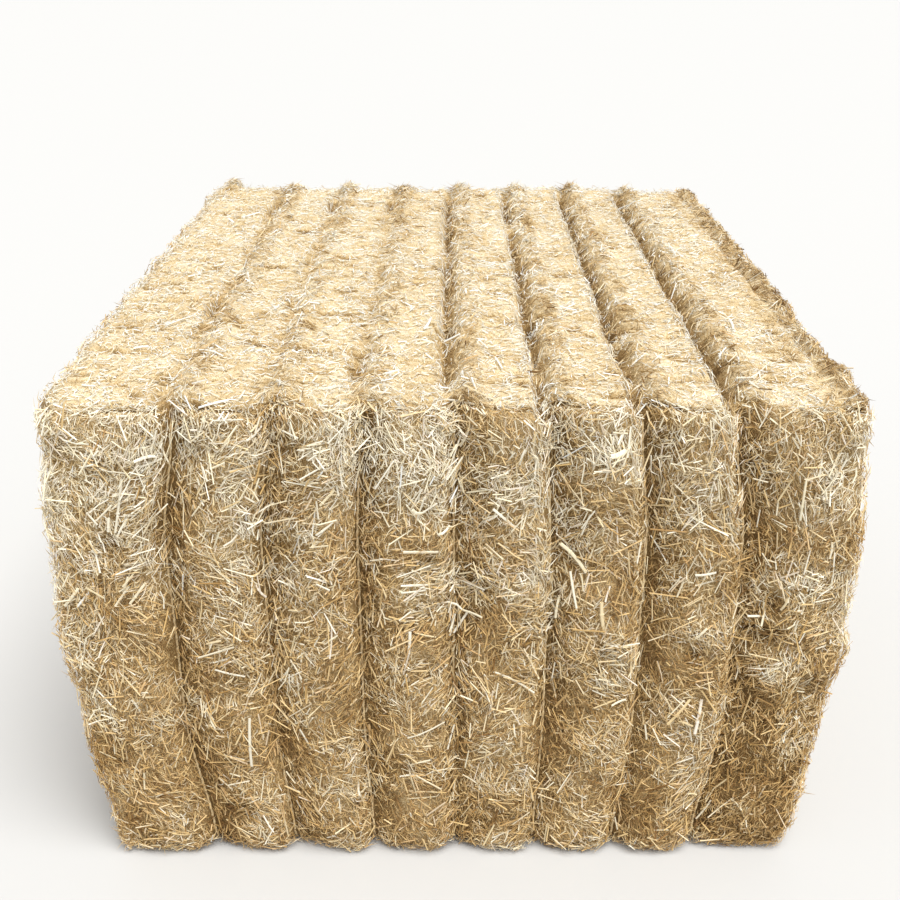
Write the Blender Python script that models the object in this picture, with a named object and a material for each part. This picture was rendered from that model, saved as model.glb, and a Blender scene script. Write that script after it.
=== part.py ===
"""Square straw bale: fourteen pressed flakes held together by seven loops of twine.

Metres, +Z up. The origin is at the bottom centre, X runs across the bale and Y along it, with the
near end at -Y. Each twine is one knotted loop round the bale's length: along the top, down one end,
back under the bottom and up the other end. It lies in a groove all the way, with the straw between
two twines swelling out in a lobe.
"""

import math
import random

import bmesh
import bpy
from mathutils import Vector, noise

# The bale at its fullest.
WIDTH = 1.250
HEIGHT = 0.860
LENGTH = 1.420

# The flakes' thickness, from the near end to the far one.
FLAKE_THICKNESS = (
    0.100, 0.126, 0.075, 0.085, 0.112, 0.114, 0.073, 0.073, 0.118, 0.124, 0.100, 0.092, 0.104, 0.124,
)
FLAKE_GAP = 0.0003
FLAKE_BEVEL = 0.008
FLAKE_INSET = 0.006
LEVEL_FLAKE = 8
TOP_WAVER = 0.004
SIDE_WAVER = 0.007

# The bale's cross-section: fullest at mid-height, drawn in above and below.
FULLEST = 0.56 * HEIGHT
TOP_TUCK = 0.010
BOTTOM_TUCK = 0.036
EDGE_RADIUS = 0.036
SIDE_ROWS = (0.27, 0.54, 0.80)

# The twines and the grooves they lie in. A groove is steep on its -X side and gentle on its +X side,
# and its shape is given as distances from the twine with shares of the groove's depth.
TWINES = 7
TWINE_PITCH = 0.1394
TWINE_RADIUS = 0.0020
TWINE_GAP = 0.0005
TWINE_SIDES = 5
TWINE_BEND_STEPS = 3
GROOVE_SHAPE = ((-0.009, 0.0), (-0.004, 1.0), (0.006, 1.0), (0.042, 0.0))
TOP_GROOVE = 0.024
BOTTOM_GROOVE = 0.010

# The lobed faces at the two ends, with the crest of a lobe this far beyond its twine.
LOBE_SHAPE = ((-0.0544, 0.0), (-0.009, 0.30), (-0.004, 1.0), (0.006, 1.0), (0.042, 0.32), (0.085, 0.0))
END_GROOVE = 0.034
LOW_END_GROOVE = 0.020
DEEPENING = (0.10, 0.50)
END_RADIUS = 0.034
END_BEND_STEPS = 3
END_ROWS = (0.14, 0.30, 0.47, 0.64, 0.80)
END_LUMP = 0.012
END_LUMP_SIZE = 0.16

# On the ends the twines run wider apart at mid-height than on the top and the underside: by this share,
# which grows between the first two heights and fades between the last two.
END_SPREAD = 0.075
SPREAD_HEIGHTS = (0.020, 0.30, 0.60, 0.834)

# The knot in each twine, on top near the far end, with two cut tails.
KNOT_Y = 0.52
KNOT_RISE = 0.0060
KNOT_SHAPE = (
    (0.034, 0.0, 1.0),
    (0.009, 1.0, 1.3),
    (0.005, 1.0, 2.4),
    (-0.005, 1.0, 2.4),
    (-0.009, 1.0, 1.3),
    (-0.034, 0.0, 1.0),
)
TAIL_LENGTH = 0.036
TAIL_RISE = 0.009
TAIL_SWING = 0.004
TAIL_RADIUS = 0.0016
TAIL_SIDES = 5

STRAW_COLOUR = (0.60, 0.46, 0.26, 1.0)
STRAW_ROUGHNESS = 0.85
TWINE_COLOUR = (0.58, 0.42, 0.21, 1.0)
TWINE_ROUGHNESS = 0.70

TWINE_X = [(k - (TWINES - 1) / 2) * TWINE_PITCH for k in range(TWINES)]


def remove_everything():
    for obj in list(bpy.data.objects):
        bpy.data.objects.remove(obj)


def make_material(name, colour, roughness):
    material = bpy.data.materials.new(name)
    material.use_nodes = True
    shader = material.node_tree.nodes["Principled BSDF"]
    shader.inputs["Base Color"].default_value = colour
    shader.inputs["Roughness"].default_value = roughness
    shader.inputs["Metallic"].default_value = 0.0
    return material


def read_shape(shape, x):
    """The share of full depth at x, for a shape that repeats at each twine."""
    share = 0.0
    for twine in TWINE_X:
        for (x0, share0), (x1, share1) in zip(shape, shape[1:]):
            if x0 <= x - twine <= x1:
                share = max(share, share0 + (share1 - share0) * (x - twine - x0) / (x1 - x0))
    return share


def eased(value, low, high):
    """A share that grows smoothly from 0 at low to 1 at high."""
    t = min(max((value - low) / (high - low), 0.0), 1.0)
    return t * t * (3 - 2 * t)


def rounding(distance, radius):
    """How far a rounded edge has dropped at this distance into its rounding."""
    distance = min(max(distance, 0.0), radius)
    return radius - math.sqrt(radius * radius - distance * distance)


def edge_drop(x):
    """The rounding of the bale's long edges at x."""
    return rounding(abs(x) - WIDTH / 2 + EDGE_RADIUS, EDGE_RADIUS)


def half_width(z):
    """Half of the bale's width at height z."""
    if z > FULLEST:
        return WIDTH / 2 - TOP_TUCK * ((z - FULLEST) / (HEIGHT - FULLEST)) ** 2
    return WIDTH / 2 - BOTTOM_TUCK * ((FULLEST - z) / FULLEST) ** 2


def top_height(x):
    return HEIGHT - TOP_GROOVE * read_shape(GROOVE_SHAPE, x) - edge_drop(x)


def bottom_height(x):
    return BOTTOM_GROOVE * read_shape(GROOVE_SHAPE, x) + edge_drop(x)


def end_reach(x, z):
    """How far the end's face stands from the bale's middle, at x and height z."""
    groove = LOW_END_GROOVE + (END_GROOVE - LOW_END_GROOVE) * eased(z, *DEEPENING)
    return LENGTH / 2 - groove * read_shape(LOBE_SHAPE, x) - edge_drop(x)


def set_back(x, facing, z):
    """How far an end's face lies behind its lobe's fullest at a point, in lumps that miss the twines."""
    lump = noise.noise(Vector((x, facing, z)) / END_LUMP_SIZE)
    return END_LUMP * max(lump, 0.0) * (1 - read_shape(LOBE_SHAPE, x))


def spread(z):
    """How much wider apart the twines run on an end at height z than along the top."""
    low, full, fading, high = SPREAD_HEIGHTS
    return END_SPREAD * eased(z, low, full) * (1 - eased(z, fading, high))


def tucked(x, z, apart=0.0):
    """x moved out with the twines' spread, and the outermost lobes fitted to the bale's width at height z."""
    inside = TWINE_X[-1] + TWINE_PITCH / 2
    if abs(x) <= inside:
        return x * (1 + apart)
    share = (abs(x) - inside) / (WIDTH / 2 - inside)
    start = inside * (1 + apart)
    return math.copysign(start + share * (half_width(z) - start), x)


def edge_stations():
    """X stations round the long edge on the +X side, from its flat to its side."""
    flat_ends = WIDTH / 2 - EDGE_RADIUS
    return [flat_ends + EDGE_RADIUS * math.sin(math.radians(45 * step)) for step in range(3)]


def merge_close(stations):
    kept = stations[:1]
    for x in stations[1:]:
        if x - kept[-1] > 0.001:
            kept.append(x)
    return kept


def cross_stations(shape):
    """X stations from the -X side to the +X side: the long edges, and the shape at each twine."""
    stations = [twine + offset for twine in TWINE_X for offset, _ in shape]
    for x in edge_stations():
        stations += [x, -x]
    return merge_close(sorted(stations))


def outline():
    """The cross-section's points as (x, z), round from the bottom of the -X side."""
    stations = cross_stations(GROOVE_SHAPE)
    under = [(x, bottom_height(x)) for x in stations]
    over = [(x, top_height(x)) for x in reversed(stations)]
    right = [(WIDTH / 2, HEIGHT * share) for share in SIDE_ROWS]
    left = [(-WIDTH / 2, HEIGHT * share) for share in reversed(SIDE_ROWS)]
    return [(tucked(x, z), z) for x, z in under + right + over + left]


def beside(x):
    """Whether a point of the outline is on one of the bale's sides."""
    return abs(x) > WIDTH / 2 - EDGE_RADIUS


def wavered(points, left, right, top):
    """The outline with its sides and its top plates set back a little. Grooves and underside stay."""
    moved = []
    for x, z in points:
        on_plate = z > HEIGHT - 1e-6
        step = (right if x > 0 else left) if beside(x) and z > EDGE_RADIUS else 0.0
        moved.append((x - math.copysign(step, x), z - top if on_plate else z))
    return moved


def inset(points):
    """The outline drawn in at its sides and its plates, for the flake's rounded near edge."""
    drawn_in = []
    for x, z in points:
        in_x = FLAKE_INSET if beside(x) and z > EDGE_RADIUS / 2 else 0.0
        in_z = FLAKE_INSET if z > HEIGHT - TOP_WAVER - 1e-6 else 0.0
        drawn_in.append((x - math.copysign(in_x, x), z - in_z))
    return drawn_in


def add_object(name, mesh, material):
    """Makes an object of a bmesh, with its faces pointing out."""
    bmesh.ops.recalc_face_normals(mesh, faces=mesh.faces)
    data = bpy.data.meshes.new(name)
    mesh.to_mesh(data)
    mesh.free()
    data.materials.append(material)
    obj = bpy.data.objects.new(name, data)
    bpy.context.scene.collection.objects.link(obj)
    return obj


def skin(mesh, rings, closed=False):
    """Joins each ring of points to the next with faces, and the last to the first if closed."""
    rows = [[mesh.verts.new(point) for point in ring] for ring in rings]
    pairs = list(zip(rows, rows[1:]))
    if closed:
        pairs.append((rows[-1], rows[0]))
    count = len(rows[0])
    for near, far in pairs:
        for i in range(count):
            j = (i + 1) % count
            mesh.faces.new((near[i], near[j], far[j], far[i]))
    if not closed:
        mesh.faces.new(rows[0])
        mesh.faces.new(rows[-1])


def make_flake(name, near, far, material, rng, level):
    """A flake from the bale's middle: a slab between two flat faces, with its near edge rounded."""
    waver = [0.0 if level else rng.uniform(0, most) for most in (SIDE_WAVER, SIDE_WAVER, TOP_WAVER)]
    points = wavered(outline(), *waver)
    stations = ((near, inset(points)), (near + FLAKE_BEVEL, points), (far, points))
    mesh = bmesh.new()
    skin(mesh, [[(x, y, z) for x, z in ring] for y, ring in stations])
    add_object(name, mesh, material)


def end_profile(x, facing, y_inner):
    """The end flake's outside at x, as (y, z) points from the bottom at y_inner round to the top."""
    low, high = bottom_height(x), top_height(x)
    points = [(y_inner, low)]
    for centre_z, first in ((low + END_RADIUS, -90), (high - END_RADIUS, 0)):
        reach = end_reach(x, centre_z)
        for step in range(END_BEND_STEPS + 1):
            angle = math.radians(first + 90 * step / END_BEND_STEPS)
            y = reach - END_RADIUS + END_RADIUS * math.cos(angle)
            points.append((facing * y, centre_z + END_RADIUS * math.sin(angle)))
        if first < 0:
            rows = [low + (high - low) * share for share in END_ROWS]
            points += [(facing * (end_reach(x, z) - set_back(x, facing, z)), z) for z in rows]
    return points + [(y_inner, high)]


def make_end_flake(name, facing, y_inner, material):
    """A flake at one end of the bale, with lobes on its outer face and a flat inner face."""
    mesh = bmesh.new()
    grid = []
    for x in cross_stations(LOBE_SHAPE):
        profile = end_profile(x, facing, y_inner)
        grid.append([mesh.verts.new((tucked(x, z, spread(z)), y, z)) for y, z in profile])
    for column, following in zip(grid, grid[1:]):
        for j in range(len(column) - 1):
            mesh.faces.new((column[j], column[j + 1], following[j + 1], following[j]))
    inner_edges = []
    for column in (grid[-1], grid[0]):
        inner = [mesh.verts.new((v.co.x, y_inner, v.co.z)) for v in column[1:-1]]
        inner = [column[0], *inner, column[-1]]
        for j in range(len(column) - 1):
            corners = [column[j], column[j + 1], inner[j + 1], inner[j]]
            mesh.faces.new(list(dict.fromkeys(corners)))
        inner_edges.append(inner)
    bottom = [column[0] for column in grid]
    top = [column[-1] for column in reversed(grid)]
    right, left = inner_edges[0][1:-1], inner_edges[1][-2:0:-1]
    mesh.faces.new(bottom + right + top + left)
    add_object(name, mesh, material)


def tube_rings(path, radii, sides, closed):
    """Rings of points round a path that stays near a plane of constant X."""
    rings = []
    last = len(path) - 1
    for i, point in enumerate(path):
        before = path[i - 1] if closed or i > 0 else point
        after = path[(i + 1) % len(path)] if closed or i < last else point
        along = (after - before).normalized()
        across = Vector((1, 0, 0))
        outward = along.cross(across).normalized()
        ring = []
        for k in range(sides):
            angle = 2 * math.pi * k / sides
            ring.append(point + radii[i] * (math.cos(angle) * across + math.sin(angle) * outward))
        rings.append(ring)
    return rings


def twine_bend(x, facing, centre_z, first):
    """The twine's centre line round one corner of the bale, from this angle on."""
    radius = END_RADIUS + TWINE_RADIUS + TWINE_GAP
    centre_y = facing * (end_reach(x, centre_z) - END_RADIUS)
    path = []
    for step in range(TWINE_BEND_STEPS + 1):
        angle = math.radians(first + 90 * step / TWINE_BEND_STEPS)
        z = centre_z + radius * math.sin(angle)
        path.append(Vector((tucked(x, z, spread(z)), centre_y + radius * math.cos(angle), z)))
    return path


def twine_run(x, facing, rows):
    """The twine's centre line along its groove in one end, at these heights."""
    off = TWINE_RADIUS + TWINE_GAP
    return [Vector((tucked(x, z, spread(z)), facing * (end_reach(x, z) + off), z)) for z in rows]


def twine_route(x):
    """The twine's centre line and its radius at each point, round the bale from below its far end."""
    low, high = bottom_height(x), top_height(x)
    rows = [low + (high - low) * share for share in END_ROWS]
    low_centre, high_centre = low + END_RADIUS, high - END_RADIUS
    far = twine_bend(x, 1, low_centre, -90) + twine_run(x, 1, rows) + twine_bend(x, 1, high_centre, 0)
    near = twine_bend(x, -1, high_centre, 90) + twine_run(x, -1, rows[::-1])
    near += twine_bend(x, -1, low_centre, 180)
    top = high + TWINE_RADIUS + TWINE_GAP
    knot = [Vector((x, KNOT_Y + y, top + rise * KNOT_RISE)) for y, rise, _ in KNOT_SHAPE]
    thickness = [1.0] * len(far) + [thick for _, _, thick in KNOT_SHAPE] + [1.0] * len(near)
    return far + knot + near, [TWINE_RADIUS * thick for thick in thickness]


def tail_route(x, facing):
    """One cut end of a twine, from inside its knot outwards and up."""
    z = top_height(x) + TWINE_RADIUS + TWINE_GAP + KNOT_RISE
    path = []
    for share in (0.0, 0.45, 1.0):
        y = KNOT_Y + facing * TAIL_LENGTH * share
        path.append(Vector((x + TAIL_SWING * share, y, z + TAIL_RISE * math.sin(share * math.pi / 2))))
    return path


def join_to(obj, mesh, material):
    """Joins another closed body to the object, with a Boolean that stays on it."""
    other = add_object(f"{obj.name}_tail", mesh, material)
    other.hide_render = True
    other.display_type = "WIRE"
    modifier = obj.modifiers.new("Tail", "BOOLEAN")
    modifier.operation = "UNION"
    modifier.object = other


def make_twine(name, x, material):
    mesh = bmesh.new()
    path, radii = twine_route(x)
    skin(mesh, tube_rings(path, radii, TWINE_SIDES, True), closed=True)
    obj = add_object(name, mesh, material)
    for facing in (-1, 1):
        tail = bmesh.new()
        route = tail_route(x, facing)
        skin(tail, tube_rings(route, [TAIL_RADIUS] * len(route), TAIL_SIDES, False))
        join_to(obj, tail, material)


def main():
    remove_everything()
    rng = random.Random(14)
    straw = make_material("straw", STRAW_COLOUR, STRAW_ROUGHNESS)
    twine = make_material("twine", TWINE_COLOUR, TWINE_ROUGHNESS)
    near = -LENGTH / 2
    last = len(FLAKE_THICKNESS)
    for number, thickness in enumerate(FLAKE_THICKNESS, start=1):
        far = near + thickness
        name = f"flake_{number:02d}"
        if number == 1:
            make_end_flake(name, -1, far - FLAKE_GAP / 2, straw)
        elif number == last:
            make_end_flake(name, 1, near + FLAKE_GAP / 2, straw)
        else:
            edges = near + FLAKE_GAP / 2, far - FLAKE_GAP / 2
            make_flake(name, *edges, straw, rng, number == LEVEL_FLAKE)
        near = far
    for number, x in enumerate(TWINE_X, start=1):
        make_twine(f"twine_{number}", x, twine)


main()
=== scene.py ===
"""Looks of the square straw bale: a matted body for every flake, straws and fibres lying over it, and
twisted twines in their grooves. Metres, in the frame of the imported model."""

import math
from dataclasses import dataclass

import bpy
import numpy as np
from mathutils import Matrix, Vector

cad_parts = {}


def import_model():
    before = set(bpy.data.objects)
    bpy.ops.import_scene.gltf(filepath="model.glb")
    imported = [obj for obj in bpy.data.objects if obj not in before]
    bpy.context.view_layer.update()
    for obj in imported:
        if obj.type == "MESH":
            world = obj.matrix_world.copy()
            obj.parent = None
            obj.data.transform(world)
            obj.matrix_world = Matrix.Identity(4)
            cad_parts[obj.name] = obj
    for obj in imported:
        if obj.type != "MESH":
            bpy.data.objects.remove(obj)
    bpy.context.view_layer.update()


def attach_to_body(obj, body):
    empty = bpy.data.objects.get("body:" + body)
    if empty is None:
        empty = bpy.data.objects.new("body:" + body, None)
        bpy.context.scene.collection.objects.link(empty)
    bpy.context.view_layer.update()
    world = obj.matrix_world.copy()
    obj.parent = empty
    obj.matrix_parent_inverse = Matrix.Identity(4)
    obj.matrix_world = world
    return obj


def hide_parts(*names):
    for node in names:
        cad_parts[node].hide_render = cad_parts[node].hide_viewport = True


# The bale's shape, as it is built.
WIDTH = 1.250
HEIGHT = 0.860
LENGTH = 1.420
FLAKE_THICKNESS = (
    0.100, 0.126, 0.075, 0.085, 0.112, 0.114, 0.073, 0.073, 0.118, 0.124, 0.100, 0.092, 0.104, 0.124,
)
FLAKE_GAP = 0.0003
FULLEST = 0.56 * HEIGHT
TOP_TUCK = 0.010
BOTTOM_TUCK = 0.036
EDGE_RADIUS = 0.036
TWINES = 7
TWINE_PITCH = 0.1394
TWINE_RADIUS = 0.0020
TWINE_GAP = 0.0005
TOP_GROOVE = 0.024
BOTTOM_GROOVE = 0.010
END_GROOVE = 0.034
LOW_END_GROOVE = 0.020
DEEPENING = (0.10, 0.50)
END_RADIUS = 0.034
END_SPREAD = 0.075
SPREAD_HEIGHTS = (0.020, 0.30, 0.60, 0.834)

# The knot in each twine, with its two cut tails: distance along, rise and thickness.
KNOT_Y = 0.52
KNOT_RISE = 0.0060
KNOT_SHAPE = (
    (-0.034, 0.0, 1.0), (-0.009, 1.0, 1.3), (-0.005, 1.0, 2.4),
    (0.005, 1.0, 2.4), (0.009, 1.0, 1.3), (0.034, 0.0, 1.0),
)
TAIL_LENGTH = 0.036
TAIL_RISE = 0.009
TAIL_SWING = 0.004
TAIL_RADIUS = 0.0016

FLAKES = len(FLAKE_THICKNESS)
TWINE_X = np.array([(k - (TWINES - 1) / 2) * TWINE_PITCH for k in range(TWINES)])
INSIDE = TWINE_X[-1] + TWINE_PITCH / 2
HALF = np.array([WIDTH / 2, LENGTH / 2, HEIGHT / 2])
MIDDLE = np.array([0.0, 0.0, HEIGHT / 2])
FLAKE_EDGES = np.concatenate([[0.0], np.cumsum(FLAKE_THICKNESS)]) - LENGTH / 2

# How the surface runs from one twine to the next: distance from the twine on its left, share of depth.
GROOVE_CURVE = (
    (0.0, 0.50), (0.003, 0.32), (0.007, 0.20), (0.013, 0.10), (0.026, 0.02), (0.038, 0.0), (0.1150, 0.0),
    (0.1172, 0.15), (0.1195, 0.88), (0.1230, 1.0), (0.1285, 1.0), (0.1340, 0.84), (0.1394, 0.50),
)
LOBE_CURVE = (
    (0.0, 1.0), (0.007, 1.0), (0.015, 0.90), (0.026, 0.67), (0.038, 0.43), (0.052, 0.22), (0.070, 0.07),
    (0.088, 0.0), (0.108, 0.02), (0.122, 0.09), (0.1304, 0.26), (0.1350, 0.86), (0.1394, 1.0),
)
GROOVE_WANDER = 0.40

# The share of each twine's groove on top that straw has closed over, from -X to +X.
CLOSED_OVER = (0.92, 0.90, 0.86, 0.25, 0.04, 0.02, 0.02)
CLOSED_DEPTH = 0.16

# The width of the tangled band along the top's +X edge.
RIM_WIDTH = 0.050
RIM_START = WIDTH / 2 - RIM_WIDTH

# Where along the far top edge the tuft in its -X corner stands.
CORNER_TUFT = -0.562

# Hollows and a ledge in the near end: place across and up, half-sizes, depth.
HOLLOWS = (
    (0.500, 0.510, 0.014, 0.018, 0.022),
    (0.494, 0.453, 0.024, 0.015, 0.026),
    (0.440, 0.068, 0.034, 0.018, 0.018),
    (0.047, 0.059, 0.014, 0.012, 0.018),
    (0.392, 0.425, 0.012, 0.026, 0.016),
    (0.245, 0.425, 0.016, 0.020, 0.014),
    (-0.040, 0.590, 0.016, 0.016, 0.014),
    (-0.520, 0.625, 0.016, 0.024, 0.012),
    (-0.360, 0.090, 0.026, 0.014, 0.014),
)
LEDGE_X, LEDGE_Z, LEDGE_DEPTH = 0.43, 0.375, 0.009

# Camera, set from the photo's vanishing lines.
CAMERA_PLACE = (-0.0055, -2.1965, 1.4965)
CAMERA_PITCH = 25.47
CAMERA_LENS = 45.0
CAMERA_SENSOR = 36.0
CAMERA_REACH = 200.0

# The studio: an even sky, one broad sun with its spread in degrees, and a pale floor.
SKY_STRENGTH = 0.68
SUN_STRENGTH = 4.2
SUN_SPREAD = 38.0
SUN_PLACE = (0.85, -1.35, 3.6)
SUN_COLOUR = (1.0, 0.99, 0.97)
FLOOR_COLOUR = (0.52, 0.52, 0.515, 1.0)
FLOOR_HALF = 60.0
FLOOR_DROP = 0.0005

# The bodies' mesh, and the cracks between flakes.
BODY_STEP = 0.0115
BODY_SINK = 0.0025
CRACK_HALF = 0.006
CRACK_DEPTH = 0.014
BOUNDARY_WAVER = 0.006
RING_CROWDING = 0.6

SEED = 7
UV_MAP = "OFBake"
# The name of the bodies' attribute of painted shade: how deep each point lies in a groove, hollow or crack.
SHADE_DEPTH = "deep"


def scattered(ix, iy, iz, seed):
    """A fixed number from 0 to 1 for each lattice point, which looks random."""
    mixed = (ix * 73856093) ^ (iy * 19349663) ^ (iz * 83492791) ^ (seed * 2654435761)
    mixed = mixed & 0xFFFFFFFF
    mixed = ((mixed ^ (mixed >> 15)) * 2246822519) & 0xFFFFFFFF
    mixed = ((mixed ^ (mixed >> 13)) * 3266489917) & 0xFFFFFFFF
    return ((mixed ^ (mixed >> 16)) & 0xFFFFFF) / 0xFFFFFF


def noise(points, size, seed):
    """Smooth noise from -1 to 1 whose lumps are about the given size."""
    q = points / size + 1000.0
    cell = np.floor(q).astype(np.int64)
    t = q - cell
    t = t * t * (3 - 2 * t)
    total = 0.0
    for dx in (0, 1):
        for dy in (0, 1):
            for dz in (0, 1):
                weight = np.abs(1 - dx - t[:, 0]) * np.abs(1 - dy - t[:, 1]) * np.abs(1 - dz - t[:, 2])
                total = total + weight * scattered(cell[:, 0] + dx, cell[:, 1] + dy, cell[:, 2] + dz, seed)
    return total * 2 - 1


def smooth(x, low, high):
    """Rises smoothly from 0 at low to 1 at high."""
    t = np.clip((x - low) / (high - low), 0, 1)
    return t * t * (3 - 2 * t)


def unit(vectors):
    return vectors / np.maximum(np.linalg.norm(vectors, axis=-1, keepdims=True), 1e-9)


def within(p):
    """Points kept inside the plain box."""
    return np.clip(p, MIDDLE - HALF, MIDDLE + HALF)


def past_twine(x):
    """Distance from the nearest twine on the -X side, and which twine that is (-1 for none)."""
    index = np.floor((x - TWINE_X[0]) / TWINE_PITCH).astype(int)
    index = np.clip(index, -1, TWINES - 1)
    return x - (TWINE_X[0] + index * TWINE_PITCH), index


def from_twine(x):
    """Signed distance from the nearest twine."""
    nearest = np.clip(np.round((x - TWINE_X[0]) / TWINE_PITCH), 0, TWINES - 1)
    return x - (TWINE_X[0] + nearest * TWINE_PITCH)


def wander(p):
    """How much narrower (positive) or wider a groove is at p than usual."""
    index = past_twine(p[:, 0])[1]
    return GROOVE_WANDER * noise(np.stack([index * 7.3, p[:, 1], p[:, 2]], axis=1), 0.15, 22)


def read_curve(curve, x, narrower=0.0):
    """A groove's share of depth at x, with none beyond the outermost lobes' crests."""
    along = [point[0] for point in curve]
    share = [point[1] for point in curve]
    crest = along[share.index(0.0)]
    distance, index = past_twine(x)
    distance = distance * (1 + narrower * (1 - distance / TWINE_PITCH))
    value = np.interp(distance, along, share)
    value = np.where((index < 0) & (distance < crest), 0.0, value)
    return np.where((index == TWINES - 1) & (distance > crest), 0.0, value)


def open_share(p):
    """How open the top groove at p is, from closed over by straw to fully open."""
    index = past_twine(p[:, 0] + 0.03)[1]
    share = np.array(CLOSED_OVER + (1.0,))[index]
    spot = np.stack([index * 9.1, p[:, 1], np.zeros(len(p))], axis=1)
    level = 0.5 + 0.5 * noise(spot, 0.11, 26) + 0.25 * noise(spot, 0.035, 27)
    value = smooth(level, share - 0.12, share + 0.12)
    knot = 1 - smooth(np.abs(p[:, 1] - KNOT_Y), 0.045, 0.075)
    back = 1 - smooth(p[:, 1], LENGTH / 2 - 0.10, LENGTH / 2 - 0.05)
    return np.maximum(CLOSED_DEPTH + (1 - CLOSED_DEPTH) * value, knot) * back


def half_width(z):
    """Half the bale's width at height z."""
    above = TOP_TUCK * np.clip((z - FULLEST) / (HEIGHT - FULLEST), 0, None) ** 2
    below = BOTTOM_TUCK * np.clip((FULLEST - z) / FULLEST, 0, None) ** 2
    return WIDTH / 2 - above - below


def end_depth(z):
    """How deep the grooves in the ends are at height z."""
    return LOW_END_GROOVE + (END_GROOVE - LOW_END_GROOVE) * smooth(z, *DEEPENING)


def spread(z):
    """How much wider apart the twines run on an end at height z than along the top."""
    low, full, fading, high = SPREAD_HEIGHTS
    return END_SPREAD * smooth(z, low, full) * (1 - smooth(z, fading, high))


def shift(x, z, near_end):
    """How far the twines' spread on the ends and the bale's narrowing move a point sideways."""
    share = np.clip((np.abs(x) - INSIDE) / (WIDTH / 2 - INSIDE), 0, 1)
    apart = np.minimum(np.abs(x), INSIDE) * spread(z) * near_end
    return np.sign(x) * (apart * (1 - share) + share * (half_width(z) - WIDTH / 2))


def plain_x(x, z):
    """The plain box's x for a place on an end, with the shift undone."""
    start = INSIDE * (1 + spread(z))
    share = (np.abs(x) - start) / (half_width(z) - start)
    beyond = INSIDE + share * (WIDTH / 2 - INSIDE)
    return np.sign(x) * np.where(share > 0, beyond, np.abs(x) / (1 + spread(z)))


def flake_at(y):
    return np.searchsorted(FLAKE_EDGES[1:-1], y)


def upward(out):
    """How much of the top's surface a place has, from the way it faces."""
    return smooth(out[:, 2], 0.5, 0.9)


def downward(out):
    return smooth(-out[:, 2], 0.3, 0.8)


def endward(out):
    return smooth(np.abs(out[:, 1]), 0.4, 0.9)


def lumps(p, out):
    """How far the surface swells out at p. out is the direction that the surface faces."""
    x, y, z = p.T
    on_top, below, on_end = upward(out), downward(out), endward(out)
    on_side = smooth(np.abs(out[:, 0]), 0.4, 0.9)
    broad, middling, fine = noise(p, 0.085, 11), noise(p, 0.034, 12), noise(p, 0.013, 13)
    step = scattered(flake_at(y), (x > 0) + 2 * (out[:, 2] > 0.7), 0, 14) - 0.6
    swell = on_end * (0.0085 * broad + 0.0050 * middling + 0.0020 * fine)
    swell += on_side * (0.0050 * broad + 0.0028 * middling + 0.0012 * fine + 0.008 * step)
    set_back = 0.003 + 0.011 * smooth(y, -0.62, -0.50) * (1 - smooth(y, -0.12, 0.0))
    rim = np.where(x > 0, 0.007 * noise(p, 0.036, 15) - set_back, 0.011 * noise(p, 0.034, 15))
    swell += smooth(z, HEIGHT - 0.10, HEIGHT - 0.04) * on_side * rim
    swell += on_top * (0.0018 * broad + 0.0012 * middling + 0.0006 * fine + 0.003 * step)
    clear = smooth(np.abs(from_twine(x)), 0.004, 0.024)
    swell *= 1 - (1 - clear) * np.maximum(on_end, on_top)
    return swell * (1 - below) - below * 0.0005 * (1 + fine)


def fluff(p, out):
    """The tangle of straw that swells up on top beside each twine and along the +X edge."""
    x, y, _ = p.T
    distance, index = past_twine(x)
    band = smooth(distance, 0.003, 0.012) * (1 - smooth(distance, 0.034, 0.056)) * (index >= 0)
    at_back = smooth(y, LENGTH / 2 - 0.10, LENGTH / 2 - 0.03)
    rim = smooth(x, RIM_START, RIM_START + 0.012)
    height = band * (0.006 + 0.0025 * noise(p, 0.050, 21) + 0.0025 * noise(p, 0.024, 20) + 0.003 * at_back)
    height += rim * (1 - at_back) * (0.001 + 0.007 * noise(p, 0.036, 23)) + 0.004 * at_back
    height -= 0.010 * at_back * smooth(x, 0.30, 0.55)
    height += 0.016 * at_back * np.exp(-(((x - CORNER_TUFT) / 0.022) ** 2))
    off_rim = np.abs(x - RIM_START - 0.006 * noise(p, 0.07, 28))
    dip = (1 - smooth(off_rim, 0.002, 0.007)) * smooth(noise(p, 0.12, 29), -0.4, 0.1)
    return upward(out) * (height - (0.008 * dip + 0.005 * nicks(p)))


def nicks(p):
    """Short cracks across the pressed top, from none to full."""
    return smooth(noise(p * np.array([1.0, 4.0, 1.0]), 0.034, 25), 0.42, 0.66)


def boundary(number, x, z):
    """Y of the wavering boundary before flake number."""
    inner = (number > 0) & (number < FLAKES)
    spot = np.stack([x, number * 3.7 + np.zeros_like(x), z], axis=1)
    waver = 0.7 * noise(spot, 0.11, 31) + 0.3 * noise(spot, 0.03, 32)
    return FLAKE_EDGES[number] + inner * BOUNDARY_WAVER * waver


def nearest_boundary(p):
    return 1 + np.abs(FLAKE_EDGES[1:-1][None] - p[:, 1:2]).argmin(axis=1)


def opening(number, p):
    """How open the crack before flake number is at p, from shut to wide."""
    spot = np.stack([p[:, 0], number * 5.1, p[:, 2]], axis=1)
    return np.clip(0.34 + 2.6 * noise(spot, 0.046, 33), 0.05, 1.4)


def crack(p, out):
    """How deep the surface drops into the cracks between flakes at p."""
    number = nearest_boundary(p)
    off = np.abs(p[:, 1] - boundary(number, p[:, 0], p[:, 2]))
    depth = CRACK_DEPTH * opening(number, p) * (1 - smooth(off, 0.001, CRACK_HALF))
    return depth * (1 - downward(out))


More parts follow.
